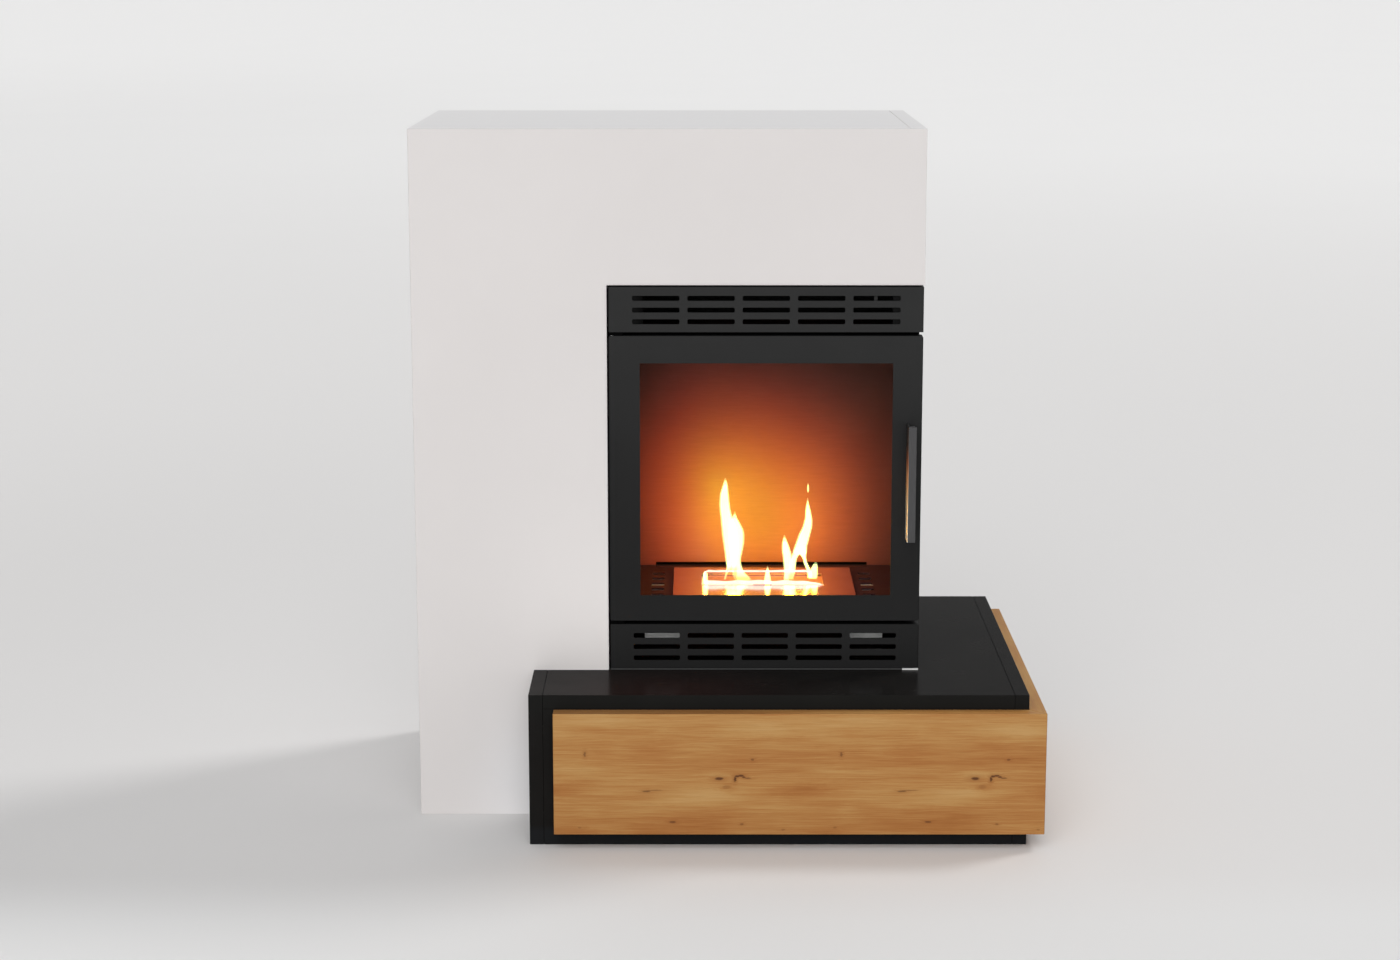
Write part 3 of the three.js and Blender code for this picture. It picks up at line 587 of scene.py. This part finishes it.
def oak(name, along, shift, flip):
    """Oak with its grain along X ("x") or Y ("y"), upright on its face."""
    k = Mat(name)
    x, y, z = k.xyz()
    g, t = (x, y) if along == "x" else (y, x)
    nx, ny, nz = k.xyz(k.n("TexCoord").outputs["Normal"])
    ng = nx if along == "x" else ny
    g = k.math("MULTIPLY_ADD", g, 1000.0, 492.0 + shift)
    if flip:
        g = k.math("SUBTRACT", 0.0, g)
    h = k.math("MULTIPLY", z, 1000.0)
    # nothing in wood is a clean curve: sway and fray the places of all marks
    where = k.combine(g, k.math("MULTIPLY", t, 1000.0), h)
    sway = k.noise(1.0, 3, 0.55, k.mapped((0.012, 0.02, 0.05), vec=where))
    fray = k.noise(1.0, 4, 0.7, k.mapped((0.10, 0.05, 0.42), loc=(4.0, 1.0, 2.0), vec=where))
    sway = k.math("SUBTRACT", sway, 0.5)
    fray = k.math("SUBTRACT", fray, 0.5)
    gb = k.math("ADD", g, k.math("MULTIPLY_ADD", sway, 60.0, k.math("MULTIPLY", fray, 34.0)))
    hb = k.math("ADD", h, k.math("MULTIPLY_ADD", sway, 16.0, k.math("MULTIPLY", fray, 10.0)))
    gm = k.math("MULTIPLY_ADD", fray, 5.0, g)
    hm = k.math("MULTIPLY_ADD", fray, 2.6, h)

    def spot(gg, hh, c, near, far):
        cg, ch, rg, rh, w = c
        gw = k.math("WRAP", gg, cg + OAK_REPEAT / 2, cg - OAK_REPEAT / 2)
        v = k.n("VectorMath", operation="LENGTH")
        k.put(
            v.inputs[0],
            k.mapped((1 / rg, 0.0, 1 / rh), loc=(-cg / rg, 0.0, -ch / rh), vec=k.combine(gw, 0.0, hh)),
        )
        return k.remap(v.outputs["Value"], near, far, w, 0.0, smooth=True)

    band = None
    for c in OAK_BANDS:
        s = spot(gb, hb, c, 0.0, 1.9)
        band = s if band is None else k.math("ADD", band, s)
    core, halo, pull = None, None, None
    for c in OAK_MARKS:
        s = spot(gm, hm, c, 0.5, 1.2)
        core = s if core is None else k.math("MAXIMUM", core, s)
        s = spot(gb if c[4] < 0.5 else gm, hm, c, 0.6, 3.2)
        halo = s if halo is None else k.math("MAXIMUM", halo, s)
    # the lines of growth run along the board and crowd round the knots
    hl = k.math("MULTIPLY_ADD", halo, 3.0, k.math("MULTIPLY_ADD", sway, 6.0, h))
    lines = k.combine(g, k.math("MULTIPLY", t, 1000.0), hl)
    wide = k.noise(1.0, 2, 0.5, k.mapped((0.0013, 0.01, 0.020), loc=(1.3, 0.2, 0.4), vec=lines))
    mid = k.noise(1.0, 3, 0.6, k.mapped((0.0068, 0.03, 0.16), loc=(0.3, 2.2, 1.4), vec=lines))
    fine = k.noise(1.0, 3, 0.65, k.mapped((0.0140, 0.2, 0.58), loc=(7.3, 0.2, 3.4), vec=lines))
    pore = k.noise(1.0, 3, 0.65, k.mapped((0.032, 0.4, 1.9), loc=(0.3, 0.7, 0.2), vec=lines))
    tone = k.math("MULTIPLY_ADD", band, 0.40, 0.5)
    tone = k.math("MULTIPLY_ADD", k.math("SUBTRACT", wide, 0.5), 0.8, tone)
    tone = k.math("MULTIPLY_ADD", k.math("SUBTRACT", mid, 0.5), 0.66, tone)
    tone = k.math("MULTIPLY_ADD", k.math("SUBTRACT", fine, 0.5), 0.84, tone)
    tone = k.math("ADD", tone, k.remap(h, 30.0, 210.0, -0.03, 0.05))
    if along == "x":
        tone = k.math("ADD", tone, k.math("ADD", k.remap(g, 240.0, 480.0, 0.11, 0.0), k.remap(g, 700.0, 980.0, 0.0, -0.06)))
    col = k.ramp(
        tone,
        [
            (0.05, lin(156, 98, 44)),
            (0.30, lin(167, 111, 56)),
            (0.50, lin(175, 124, 67)),
            (0.72, lin(183, 138, 80)),
            (0.95, lin(189, 148, 92)),
        ],
    )
    pores = k.remap(pore, 0.57, 0.70, 0.0, 0.28)
    col = k.mix(pores, col, lin(124, 74, 34))
    col = k.mix(k.math("MULTIPLY", halo, 0.42), col, lin(146, 86, 36))
    col = k.mix(k.math("MULTIPLY", core, 0.88), col, lin(80, 42, 14))
    # end grain: browner, with the ends of the rings showing
    end = k.remap(k.math("ABSOLUTE", ng), 0.75, 0.9)
    ring = k.noise(1.0, 3, 0.6, k.mapped((0.01, 0.9, 0.16), vec=lines))
    col = k.mix(end, col, k.mix(k.remap(ring, 0.35, 0.65), lin(120, 76, 42), lin(158, 110, 66)))
    # painted shadow: the upper edge is darker at the left, where the base top overhangs it, and fades out to the right
    if along == "x":
        painted_overhang_shadow = k.math("MULTIPLY", k.remap(nz, 0.7, 0.9), k.remap(x, -0.1, 0.28, 0.5, 0.0))
        col = k.mix(painted_overhang_shadow, col, lin(120, 70, 40))
    rough = k.remap(fine, 0.3, 0.7, 0.44, 0.56)
    nrm = k.bump(fine, 0.08, 0.0004)
    nrm = k.bump(pores, 0.30, 0.0003, nrm)
    p = k.principled(Base_Color=col, Roughness=rough, Normal=nrm)
    p.inputs["Specular IOR Level"].default_value = 0.25
    return k.surface(p)


def flame_mat(name, light, thin):
    """Hot gas: adds its light and hides nothing behind it."""
    k = Mat(name)
    wisp = k.noise(1.0, 3, 0.5, k.mapped((60.0, 60.0, 18.0)))
    x, y, z = k.xyz()
    low = k.remap(z, 0.348, 0.372, 0.75, 1.0)
    if thin:
        # the feet of two tongues are thin and let the back show through
        for x0, x1, z0, z1, left in ((486, 513, 361, 373, 0.004), (505, 543, 349, 358, 0.02), (595, 609, 352, 363, 0.01)):
            mid, half = W((x0 + x1) / 2, 0, 0)[0], (x1 - x0) / 2000
            near = k.remap(k.math("ABSOLUTE", k.math("SUBTRACT", x, mid)), half - 0.003, half, 1.0, 0.0, smooth=True)
            foot = k.remap(z, z0 / 1000, z1 / 1000, 1.0, 0.0, smooth=True)
            low = k.math("MULTIPLY", low, k.remap(k.math("MULTIPLY", near, foot), 0.0, 1.0, 1.0, left if thin > 1 else 0.35))
    strength = k.math("MULTIPLY", k.remap(wisp, 0.25, 0.75, 0.85, 1.15), low)
    e = k.n("Emission")
    e.inputs["Color"].default_value = (*light, 1.0)
    k.put(e.inputs["Strength"], strength)
    both = k.n("AddShader")
    k.put(both.inputs[0], e.outputs[0])
    k.put(both.inputs[1], k.n("BsdfTransparent").outputs[0])
    return k.surface(both)


M = {
    "white_board": white_board(),
    "black_board": black_board(),
    "black_steel": black_steel(),
    "liner_steel": liner_steel(),
    "zinc_steel": zinc_steel(),
    "polished_steel": polished_steel(),
    "handle_steel": handle_steel(),
    "scorched_steel": scorched_steel(),
    "brass": brass(),
    "ceramic_fibre": ceramic_fibre(),
    "rope_seal": rope_seal(),
    "glass": glass(),
    "magnet": magnet(),
    "shim": shim(),
    "screw": screw_steel(),
    "floor_steel": floor_steel(),
    "clip_steel": clip_steel(),
    "blackened": plain_dark("blackened_steel", (0.0012, 0.0012, 0.0012), (0.0026, 0.0026, 0.0026), 0.8, gloss=0.015),
    "edge_steel": edge_steel(),
    "oak_front": oak("oak_front_board", "x", 0.0, False),
    "oak_side": oak("oak_side_board", "y", 130.0, True),
}

NODE_MAT = {
    "surround_": "white_board",
    "base_": "black_board",
    "oak_front": "oak_front",
    "oak_side": "oak_side",
    "stove_base_plate": "edge_steel",
    "levelling_shim": "shim",
    "casing_": "black_steel",
    "front_frame": "blackened",
    "grille_": "black_steel",
    "grille_clip": "clip_steel",
    "burner_bracket": "zinc_steel",
    "firebox_": "liner_steel",
    "firebox_floor": "floor_steel",
    "burner_tray": "scorched_steel",
    "burner_pad": "ceramic_fibre",
    "burner_lid": "polished_steel",
    "burner_plate": "polished_steel",
    "door_frame": "black_steel",
    "door_inner_frame": "black_steel",
    "door_seal": "rope_seal",
    "glass_gasket": "rope_seal",
    "door_glass": "glass",
    "glass_retainer": "black_steel",
    "retainer_screw": "screw",
    "door_handle": "handle_steel",
    "handle_screw": "screw",
    "hinge_tab": "blackened",
    "hinge_pin": "zinc_steel",
    "hinge_bush": "brass",
    "catch_magnet": "magnet",
    "catch_strike": "zinc_steel",
}

SOFTEN = {
    "surround_": 0.0009,
    "base_": 0.0006,
    "oak_": 0.0007,
    "grille_": 0.0003,
    "grille_clip": 0.0003,
    "door_frame": 0.0012,
    "door_handle": 0.0006,
    "stove_base_plate": 0.0005,
    "burner_plate": 0.0004,
    "burner_lid": 0.0003,
}


def soften(o, width, segments=3):
    """Small rounded edges on a CAD node, by modifiers alone."""
    w = o.modifiers.new("weld", "WELD")
    w.merge_threshold = 0.00001
    d = o.modifiers.new("flat", "DECIMATE")
    d.decimate_type = "DISSOLVE"
    d.angle_limit = math.radians(1.0)
    b = o.modifiers.new("edge", "BEVEL")
    b.width = width
    b.segments = segments
    b.limit_method = "ANGLE"
    b.angle_limit = math.radians(35)
    b.harden_normals = False
    wn = o.modifiers.new("shade", "WEIGHTED_NORMAL")
    wn.keep_sharp = False
    wn.weight = 100


def lookup(table, name):
    best = None
    for key in table:
        if name.startswith(key) and (best is None or len(key) > len(best)):
            best = key
    return table[best] if best else None


for name, o in NODES.items():
    mat = M[lookup(NODE_MAT, name)]
    if not o.material_slots:
        o.data.materials.append(mat)
    for s in o.material_slots:
        s.material = mat
    width = lookup(SOFTEN, name)
    if width:
        soften(o, width)


# ---------------------------------------------------------------- made pieces


def new_object(name, bm, mat, smooth=True):
    me = bpy.data.meshes.new(name)
    bmesh.ops.recalc_face_normals(bm, faces=bm.faces)
    bm.to_mesh(me)
    bm.free()
    for p in me.polygons:
        p.use_smooth = smooth
    o = bpy.data.objects.new(name, me)
    scene.collection.objects.link(o)
    me.materials.append(mat)
    return o


def hermite(rows, z):
    """Smooth interpolation in rows sorted by height; each row is (z, left, right)."""
    if z <= rows[0][0]:
        return rows[0][1:]
    for i in range(len(rows) - 1):
        a, b = rows[i], rows[i + 1]
        if a[0] <= z <= b[0]:
            t = (z - a[0]) / (b[0] - a[0])
            out = []
            for c in (1, 2):
                m0 = (b[c] - rows[max(i - 1, 0)][c]) / max(b[0] - rows[max(i - 1, 0)][0], 1e-6)
                m1 = (rows[min(i + 2, len(rows) - 1)][c] - a[c]) / max(
                    rows[min(i + 2, len(rows) - 1)][0] - a[0], 1e-6
                )
                dz = b[0] - a[0]
                h00 = 2 * t**3 - 3 * t**2 + 1
                h10 = t**3 - 2 * t**2 + t
                h01 = -2 * t**3 + 3 * t**2
                h11 = t**3 - t**2
                out.append(h00 * a[c] + h10 * dz * m0 + h01 * b[c] + h11 * dz * m1)
            return out
    return rows[-1][1:]


def tongue(bm, rows, y0, inset, deep=0.55, sway=0.0, levels=34, sides=18):
    """One closed flame tongue whose outline follows rows; inset shrinks it for inner shells."""
    z0, z1 = rows[0][0], rows[-1][0]
    height = z1 - z0
    top = z1 - inset * min(6.0, 0.16 * height)
    bottom = z0 + inset * 1.0
    rings = []
    for i in range(levels + 1):
        f = i / levels
        z = bottom + (top - bottom) * (f - 0.12 * math.sin(math.pi * 2 * f) / (2 * math.pi))
        xl, xr = hermite(rows, z)
        c, half = (xl + xr) / 2, max((xr - xl) / 2, 0.35)
        half = max(half - inset * (0.9 + 0.10 * half), 0.22)
        if i == levels:
            half *= 0.35
        d = max(half * deep, 0.2) + 0.6 * (1 - inset)
        if i == levels:
            d = half
        yy = y0 + sway * math.sin(f * 2.6) * 6
        ring = []
        for s in range(sides):
            a = 2 * math.pi * s / sides
            ring.append(bm.verts.new(W(c + half * math.cos(a), yy + d * math.sin(a), z)))
        rings.append(ring)
    for a, b in zip(rings, rings[1:]):
        for s in range(sides):
            bm.faces.new((a[s], a[(s + 1) % sides], b[(s + 1) % sides], b[s]))
    bm.faces.new(list(reversed(rings[0])))
    bm.faces.new(rings[-1])


FLAMES = [
    # name, y, depth, sway, rows of (height, left, right)
    ("left_tall", 184, 0.62, 0.5, [(362, 494.0, 507), (368, 494.0, 509), (377, 492.2, 512), (395, 490, 514), (418.7, 486.6, 513), (436, 485, 509), (450.8, 483.8, 504.4), (462, 482.6, 501.5), (472.7, 481.9, 499.8), (490.5, 483.1, 497.9), (504, 487.3, 496.4), (512, 489.5, 494.6), (517, 491, 492.4)]),
    ("left_strand", 178, 0.7, 0.0, [(347.2, 489.4, 493.4), (353, 490.8, 494.8), (360, 492.6, 497.6), (368, 494.2, 502.0), (378, 495.0, 505.0)]),
    ("left_second", 176, 0.62, -0.4, [(347.2, 508, 536), (352, 505, 533), (358, 503.4, 526), (366, 502, 521.5), (380, 501, 518.1), (395, 499, 520.9), (412, 497, 523.7), (430.6, 498, 522.8), (444, 499.5, 516.5), (451, 502, 512.5), (457.5, 505, 510), (463, 506.8, 508.4)]),
    ("small", 176, 0.7, 0.3, [(347.2, 588.5, 598), (353, 588.5, 599), (360.3, 588.9, 600.5), (377.1, 587.5, 603), (388.3, 586.4, 602.4), (395, 585.4, 600.8), (406.9, 585.3, 596.8), (416, 587, 592.9), (422.8, 588.9, 590.2)]),
    ("right_tall", 184, 0.62, 0.5, [(389, 606, 626), (392.7, 603.8, 627.2), (400.1, 605.6, 627.8), (406.9, 607.9, 629.5), (413.7, 610.4, 631.2), (422.1, 613.3, 633.3), (433.3, 618.8, 635.8), (444.4, 621.9, 636.4), (450.1, 623.1, 635.7), (462.6, 623.9, 633.3), (469.3, 624.7, 631.5), (476, 626, 629.9), (483.6, 627.3, 628.4)]),
    ("right_leg_left", 180, 0.7, 0.0, [(347.2, 596, 605.5), (350, 596, 606), (361, 596.5, 608.5), (372, 598, 609.6), (383, 600.2, 611.5), (392, 603, 617), (400, 606, 622)]),
    ("right_leg_right", 188, 0.7, 0.0, [(347.2, 628, 637), (354, 627.5, 637), (360, 626.5, 635), (366.2, 624.4, 632), (373, 621.8, 628.7), (379.8, 620.2, 627.0), (385.6, 616.5, 626.8), (392, 613, 627.4), (400, 610, 627.6)]),
    ("right_lump", 186, 0.75, 0.0, [(347.2, 630, 645), (352, 630, 646), (358, 631, 646.2), (364.5, 634, 646), (370, 637, 645.3), (375, 641, 643.2)]),
    ("speck", 186, 0.8, 0.0, [(492.4, 627.6, 629.0), (497, 626.6, 630.2), (502, 626.7, 630.0), (508.3, 627.8, 628.8)]),
    ("centre", 148, 0.8, 0.0, [(347.2, 554.6, 568.2), (351, 555.0, 567.8), (357, 555.6, 567.0), (361.3, 556.3, 566.3), (366, 557.5, 565.2), (371, 559.1, 563.6), (377.3, 561.0, 561.6)]),
    ("corner", 141, 0.8, 0.0, [(347.2, 452.6, 463.9), (352, 453.0, 463.9), (358, 453.8, 463.8), (363, 454.5, 463.6), (366.5, 455.2, 463.0), (368.8, 456.4, 461.4), (370.2, 458.2, 459.4)]),
]

RIM = [
    # foot, and the path along the burner mouth's edge (x, y, height of the flame, half width)
    ("rim_front", 347.2, [(458, 141, 7.6, 1.9), (466, 140, 8.0, 2.3), (490, 140, 7.6, 2.3), (530, 139.8, 8.1, 2.5), (560, 139.6, 7.8, 2.5), (595, 140.2, 8.0, 2.4), (620, 140, 7.0, 2.2), (638, 140, 5.2, 1.8), (653, 140, 2.6, 1.0)]),
    ("rim_left", 347.2, [(458.5, 141, 8, 1.7), (458, 152, 9, 1.8), (457.6, 172, 10, 1.9), (457.4, 192, 9, 1.8), (458, 210, 7, 1.6), (459, 224, 5.4, 1.4)]),
    ("rim_rear", 348.5, [(459, 225.3, 5.2, 1.3), (478, 225.5, 4.2, 1.2), (510, 225.3, 4.6, 1.2), (545, 225.5, 4.0, 1.1), (580, 225.3, 4.4, 1.2), (612, 225.5, 4.2, 1.2), (632, 225.3, 5.0, 1.3)]),
]


def rim_flame(bm, foot, path, inset, sides=14, steps=60):
    """A low closed ridge of flame along the burner mouth's edge."""
    pts = []
    n = len(path) - 1
    for i in range(steps + 1):
        f = i / steps * n
        a = min(int(f), n - 1)
        t = f - a
        t2 = t * t * (3 - 2 * t)
        p = [path[a][c] * (1 - t2) + path[a + 1][c] * t2 for c in range(4)]
        p[0] = path[a][0] * (1 - t) + path[a + 1][0] * t
        p[1] = path[a][1] * (1 - t) + path[a + 1][1] * t
        pts.append(p)
    rings = []
    for i, (x, y, h, half) in enumerate(pts):
        q, r = pts[max(i - 1, 0)], pts[min(i + 1, steps)]
        dx, dy = r[0] - q[0], r[1] - q[1]
        s = math.hypot(dx, dy) or 1
        nx, ny = -dy / s, dx / s
        flick = noise.noise(Vector((x * 0.05, y * 0.05, 3.7))) * 0.20
        h = h * (1 + flick) - inset * 1.3
        half = max(half - inset * 0.7, 0.25)
        end = min(1.0, 0.35 + min(i, steps - i) * 0.22)
        h, half = h * end, half * end
        ring = []
        for k in range(sides):
            a = 2 * math.pi * k / sides
            up = (math.sin(a) + 1) / 2
            w = half * math.cos(a) * (1 - 0.55 * up**1.4)
            ring.append(bm.verts.new(W(x + nx * w, y + ny * w, foot + max(h, 0.6) * up)))
        rings.append(ring)
    for a, b in zip(rings, rings[1:]):
        for k in range(sides):
            bm.faces.new((a[k], a[(k + 1) % sides], b[(k + 1) % sides], b[k]))
    bm.faces.new(list(reversed(rings[0])))
    bm.faces.new(rings[-1])


GLOW = [("glow_rear", 341.4, [(461, 220.3, 4.3, 0.9), (500, 220.3, 4.3, 0.9), (545, 220.3, 4.3, 0.9), (590, 220.3, 4.3, 0.9), (631, 220.3, 4.3, 0.9)])]

SHELLS = [
    ("outer", 0.0, (0.16, 0.22, 0.10), 0),
    ("middle", 0.8, (0.90, 0.86, 0.24), 1),
    ("core", 1.8, (18.0, 8.0, 0.16), 2),
    ("rim_outer", 0.0, (0.20, 0.15, 0.13), 0),
    ("rim_core", 0.6, (0.62, 0.50, 0.44), 0),
    ("glow", 0.0, (0.30, 0.105, 0.055), 0),
]
for shell, inset, light, thin in SHELLS:
    mat = flame_mat("flame_" + shell, light, thin)
    bm = bmesh.new()
    if shell.startswith("rim") or shell == "glow":
        for name, foot, path in GLOW if shell == "glow" else RIM:
            rim_flame(bm, foot, path, inset)
    else:
        for name, y, deep, sway, rows in FLAMES:
            if shell == "core" and name in ("speck",):
                continue
            tongue(bm, rows, y, inset, deep, sway)
    o = new_object("flames_" + shell, bm, mat)
    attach(o, "burner")
    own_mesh(o)


# ---------------------------------------------------------------- stage, light, camera


def floor_mat():
    k = Mat("pale_floor")
    x, y, z = k.xyz()
    cloud = k.noise(0.9, 3, 0.5)
    dist = k.math("SQRT", k.math("ADD", k.math("MULTIPLY", x, x), k.math("MULTIPLY", y, y)))
    # painted light: the floor gets paler with distance from the object
    far = k.remap(dist, 0.5, 16.4, smooth=True)
    col = k.mix(far, (0.80, 0.793, 0.79), (0.93, 0.93, 0.93))
    col = k.mix(k.remap(cloud, 0.3, 0.7, 0.0, 0.02), col, (0.7, 0.7, 0.7))
    # painted shade: two broad darker patches, behind and to the left of the object
    for cx, cy, rx, ry, loss in ((-1.5, 1.2, 1.0, 1.8, 0.065), (-6.0, 14.0, 5.0, 12.0, 0.06)):
        dx = k.math("DIVIDE", k.math("SUBTRACT", x, cx), rx)
        dy = k.math("DIVIDE", k.math("SUBTRACT", y, cy), ry)
        painted_shade_patch = k.math("EXPONENT", k.math("MULTIPLY", k.math("ADD", k.math("MULTIPLY", dx, dx), k.math("MULTIPLY", dy, dy)), -1.0))
        col = k.mix(k.math("MULTIPLY", painted_shade_patch, loss), col, (0.0, 0.0, 0.0))
    near = k.math("MULTIPLY", k.remap(y, -0.45, -0.65), k.remap(dist, 1.5, 5.0, 1.0, 0.0, smooth=True))
    col = k.mix(near, col, (0.820, 0.822, 0.822))
    p = k.principled(Base_Color=col, Roughness=0.85)
    p.inputs["Specular IOR Level"].default_value = 0.05
    return k.surface(p)


bm = bmesh.new()
S = 160.0
quad = [bm.verts.new(c) for c in ((-S, -S, 0), (S, -S, 0), (S, S, 0), (-S, S, 0))]
bm.faces.new(quad)
floor = new_object("floor", bm, floor_mat(), smooth=False)

world = bpy.data.worlds.new("studio")
scene.world = world
world.use_nodes = True
wt = world.node_tree
bg = wt.nodes["Background"]
wdir = wt.nodes.new("ShaderNodeTexCoord").outputs["Generated"]
wsep = wt.nodes.new("ShaderNodeSeparateXYZ")
wt.links.new(wdir, wsep.inputs[0])
wramp = wt.nodes.new("ShaderNodeValToRGB")
SKY = [(0.0, 0.82), (0.02, 0.78), (0.13, 0.55), (0.21, 0.30), (0.34, 0.27), (0.5, 0.40), (1.0, 0.24)]
while len(wramp.color_ramp.elements) < len(SKY):
    wramp.color_ramp.elements.new(0.5)
for e, (p, c) in zip(wramp.color_ramp.elements, SKY):
    e.position = p
    e.color = (c, c, c, 1.0)
wt.links.new(wsep.outputs[2], wramp.inputs[0])
wt.links.new(wramp.outputs[0], bg.inputs["Color"])
bg.inputs["Strength"].default_value = 1.0


def sun(name, az, el, angle, strength, color=(1, 1, 1)):
    """A broad far lamp; az 0 is the front (-Y), 90 the right (+X)."""
    light = bpy.data.lights.new(name, "SUN")
    light.energy = strength
    light.angle = math.radians(angle)
    light.color = color
    o = bpy.data.objects.new(name, light)
    scene.collection.objects.link(o)
    a, e = math.radians(az), math.radians(el)
    d = Vector((math.sin(a) * math.cos(e), -math.cos(a) * math.cos(e), math.sin(e)))
    o.location = d * 6
    o.rotation_euler = d.to_track_quat("Z", "Y").to_euler()
    return o


sun("key", 120, 48, 14, 0.86, (1.0, 0.985, 0.975))
sun("front_fill", -8, 20, 50, 1.04, (1.0, 0.987, 0.98))
sun("high_fill", -8, 55, 50, 0.72, (1.0, 1.0, 1.0))
sun("rear_fill", 180, 50, 50, 0.29, (1.0, 1.0, 1.0))

cam_data = bpy.data.cameras.new("camera")
cam_data.lens = 68.53
cam_data.sensor_width = 36.0
cam_data.sensor_fit = "HORIZONTAL"
cam_data.dof.use_dof = False
cam = bpy.data.objects.new("camera", cam_data)
cam.location = (-0.0417, -4.2834, 1.35807)
cam.rotation_euler = (math.radians(78.905), 0, 0)
scene.collection.objects.link(cam)
scene.camera = cam
scene.view_settings.view_transform = "Standard"
scene.view_settings.look = "None"

bpy.context.view_layer.update()
